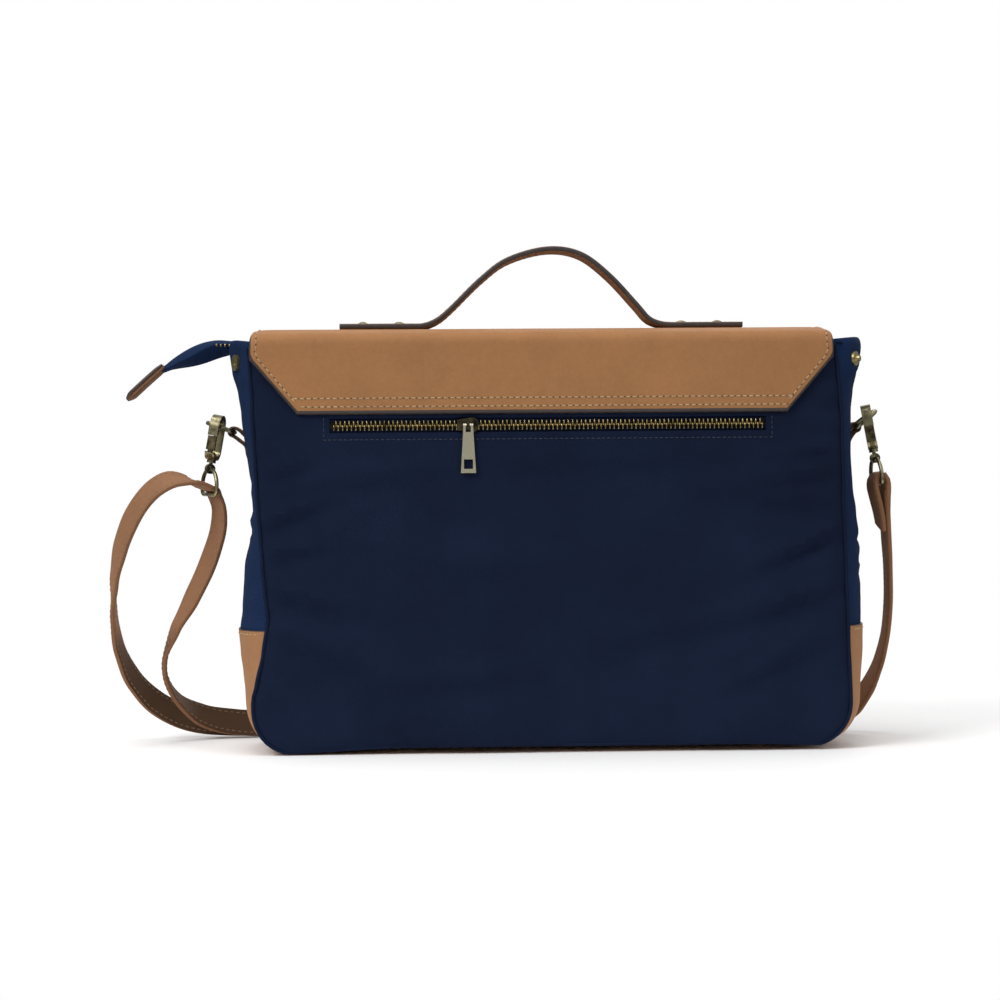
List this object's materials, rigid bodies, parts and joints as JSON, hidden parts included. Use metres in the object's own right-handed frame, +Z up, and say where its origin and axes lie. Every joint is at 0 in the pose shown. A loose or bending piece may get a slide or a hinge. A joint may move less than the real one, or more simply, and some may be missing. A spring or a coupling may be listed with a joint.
{
  "type": "messenger bag",
  "caption": "Soft messenger bag with a leather flap over a zipped mouth, a top handle, a zipped back pocket and a clip-on leather shoulder strap.",
  "frame": {"origin": "centre of the leather base, on the surface that the bag stands on", "axes": "+Z up, +X along the bag's length to the right seen from the back, -Y out of the back panel, +Y out of the flap's front"},
  "size_m": [0.5269, 0.134, 0.3308],
  "materials": {
    "navy_twill": "cotton twill",
    "zip_tape": "woven tape",
    "lining_cloth": "plain weave",
    "foam": "closed-cell foam",
    "board": "stiffener board",
    "flap_leather": "matte nubuck",
    "base_leather": "matte nubuck",
    "strap_leather": "smooth vegetable tanned",
    "zip_brass": "aged",
    "pull_brass": "brushed",
    "slider_metal": "dark aged",
    "antique_brass": "antique",
    "magnet_steel": "satin"
  },
  "bodies": {
    "root": {"back_panel": "navy_twill", "front_panel": "navy_twill", "gusset_left": "navy_twill", "gusset_right": "navy_twill", "leather_base": "base_leather", "base_board": "board", "lining": "lining_cloth", "back_foam_pad": "foam", "laptop_divider": "lining_cloth", "inner_pocket": "lining_cloth", "top_facing_back": "navy_twill", "top_facing_front": "navy_twill", "flap_back": "flap_leather", "magnet_sockets": "magnet_steel", "back_zip_tape": "zip_tape", "back_zip_teeth": "zip_brass", "back_pocket_bag": "lining_cloth", "zip_end_right": "navy_twill", "zip_end_left": "navy_twill", "main_end_teeth": "zip_brass", "zip_tail": "navy_twill", "zip_tail_tab": "strap_leather", "snap_sockets": "antique_brass", "snap_studs": "antique_brass", "shoulder_strap": "strap_leather", "strap_slide": "antique_brass", "dring_tab_left": "base_leather", "dring_tab_right": "base_leather"},
    "flap_top": {"flap_top": "flap_leather", "handle_strap": "strap_leather", "handle_rivets": "antique_brass", "handle_washers": "antique_brass"},
    "flap_front": {"flap_front": "flap_leather", "magnet_studs": "magnet_steel"},
    "wing_back": {"wing_back": "navy_twill", "wing_teeth_back": "zip_brass"},
    "wing_front": {"wing_front": "navy_twill", "wing_teeth_front": "zip_brass"},
    "main_slider": {"main_slider": "slider_metal"},
    "main_pull": {"main_pull": "pull_brass"},
    "back_slider": {"back_slider": "slider_metal"},
    "back_pull": {"back_pull": "pull_brass"},
    "dring_left": {"dring_left": "antique_brass"},
    "ring_left": {"ring_left": "antique_brass"},
    "swivel_left": {"swivel_left": "antique_brass"},
    "clasp_left": {"clasp_left": "antique_brass", "gate_pin_left": "antique_brass"},
    "gate_left": {"gate_left": "antique_brass"},
    "dring_right": {"dring_right": "antique_brass"},
    "ring_right": {"ring_right": "antique_brass"},
    "swivel_right": {"swivel_right": "antique_brass"},
    "clasp_right": {"clasp_right": "antique_brass", "gate_pin_right": "antique_brass"},
    "gate_right": {"gate_right": "antique_brass"}
  },
  "joints": [
    {"name": "flap_lift", "type": "hinge", "parent": "root", "child": "flap_top", "pos_m": [-0.004, -0.0522, 0.269], "axis": [1, 0, 0], "range_deg": [0, 170]},
    {"name": "flap_fold", "type": "hinge", "parent": "flap_top", "child": "flap_front", "pos_m": [-0.004, 0.0552, 0.269], "axis": [1, 0, 0], "range_deg": [0, 95]},
    {"name": "main_zip", "type": "slide", "parent": "root", "child": "main_slider", "axis": [-1, 0, 0], "range_m": [0, 0.342]},
    {"name": "wing_back_fold", "type": "hinge", "parent": "root", "child": "wing_back", "pos_m": [0, -0.041, 0.264], "axis": [-1, 0, 0], "range_deg": [0, 75.3]},
    {"name": "wing_front_fold", "type": "hinge", "parent": "root", "child": "wing_front", "pos_m": [0, 0.041, 0.264], "axis": [1, 0, 0], "range_deg": [0, 75.3]},
    {"name": "main_pull_lift", "type": "hinge", "parent": "main_slider", "child": "main_pull", "pos_m": [0.163, 0, 0.2689], "axis": [0, 1, 0], "range_deg": [0, 3.5]},
    {"name": "back_zip", "type": "slide", "parent": "root", "child": "back_slider", "axis": [1, 0, 0], "range_m": [-0.077, 0.18]},
    {"name": "back_pull_lift", "type": "hinge", "parent": "back_slider", "child": "back_pull", "pos_m": [-0.054, -0.0532, 0.2119], "axis": [-1, 0, 0], "range_deg": [0, 150]},
    {"name": "dring_left_drop", "type": "hinge", "parent": "root", "child": "dring_left", "pos_m": [-0.2085, 0, 0.2095], "axis": [0, -1, 0], "range_deg": [0, 6]},
    {"name": "ring_left_swing", "type": "hinge", "parent": "root", "child": "ring_left", "pos_m": [-0.22408, -0.0109, 0.16827], "axis": [-0.4997, 0.866, 0.0175], "range_deg": [-10, 10]},
    {"name": "swivel_left_swing", "type": "hinge", "parent": "ring_left", "child": "swivel_left", "pos_m": [-0.22349, -0.0109, 0.18516], "axis": [-0.4997, 0.866, 0.0175], "range_deg": [-16.5, 16.5]},
    {"name": "clasp_left_turn", "type": "hinge", "parent": "swivel_left", "child": "clasp_left", "pos_m": [-0.22241, -0.0109, 0.19106], "axis": [0.1805, 0, 0.9836], "range_deg": [-5, 17]},
    {"name": "gate_left_press", "type": "hinge", "parent": "clasp_left", "child": "gate_left", "pos_m": [-0.22313, -0.01745, 0.19485], "axis": [-0.9621, 0.2079, 0.1766], "range_deg": [0, 14], "stiffness_Nm_per_rad": 0.01, "springref_deg": -11.46},
    {"name": "dring_right_drop", "type": "hinge", "parent": "root", "child": "dring_right", "pos_m": [0.2055, 0, 0.2095], "axis": [0, 1, 0], "range_deg": [0, 6]},
    {"name": "ring_right_swing", "type": "hinge", "parent": "root", "child": "ring_right", "pos_m": [0.21902, -0.0109, 0.17217], "axis": [-0.1386, 0.9903, -0.0121], "range_deg": [-5, 10]},
    {"name": "swivel_right_swing", "type": "hinge", "parent": "ring_right", "child": "swivel_right", "pos_m": [0.21755, -0.0109, 0.189], "axis": [-0.1386, 0.9903, -0.0121], "range_deg": [-16.5, 8.5]},
    {"name": "clasp_right_turn", "type": "hinge", "parent": "swivel_right", "child": "clasp_right", "pos_m": [0.21647, -0.0109, 0.1949], "axis": [-0.1805, 0, 0.9836], "range_deg": [0, 12]},
    {"name": "gate_right_press", "type": "hinge", "parent": "clasp_right", "child": "gate_right", "pos_m": [0.21467, -0.0175, 0.19823], "axis": [-0.9686, 0.1736, -0.1778], "range_deg": [0, 14], "stiffness_Nm_per_rad": 0.01, "springref_deg": -11.46}
  ],
  "couplings": [
    {"joint": "wing_back_fold", "follows": "main_zip", "rad_per_m": 3.828},
    {"joint": "wing_front_fold", "follows": "main_zip", "rad_per_m": 3.828},
    {"joint": "swivel_left_swing", "follows": "ring_left_swing", "ratio": -1.5951},
    {"joint": "swivel_right_swing", "follows": "ring_right_swing", "ratio": -1.6353}
  ]
}
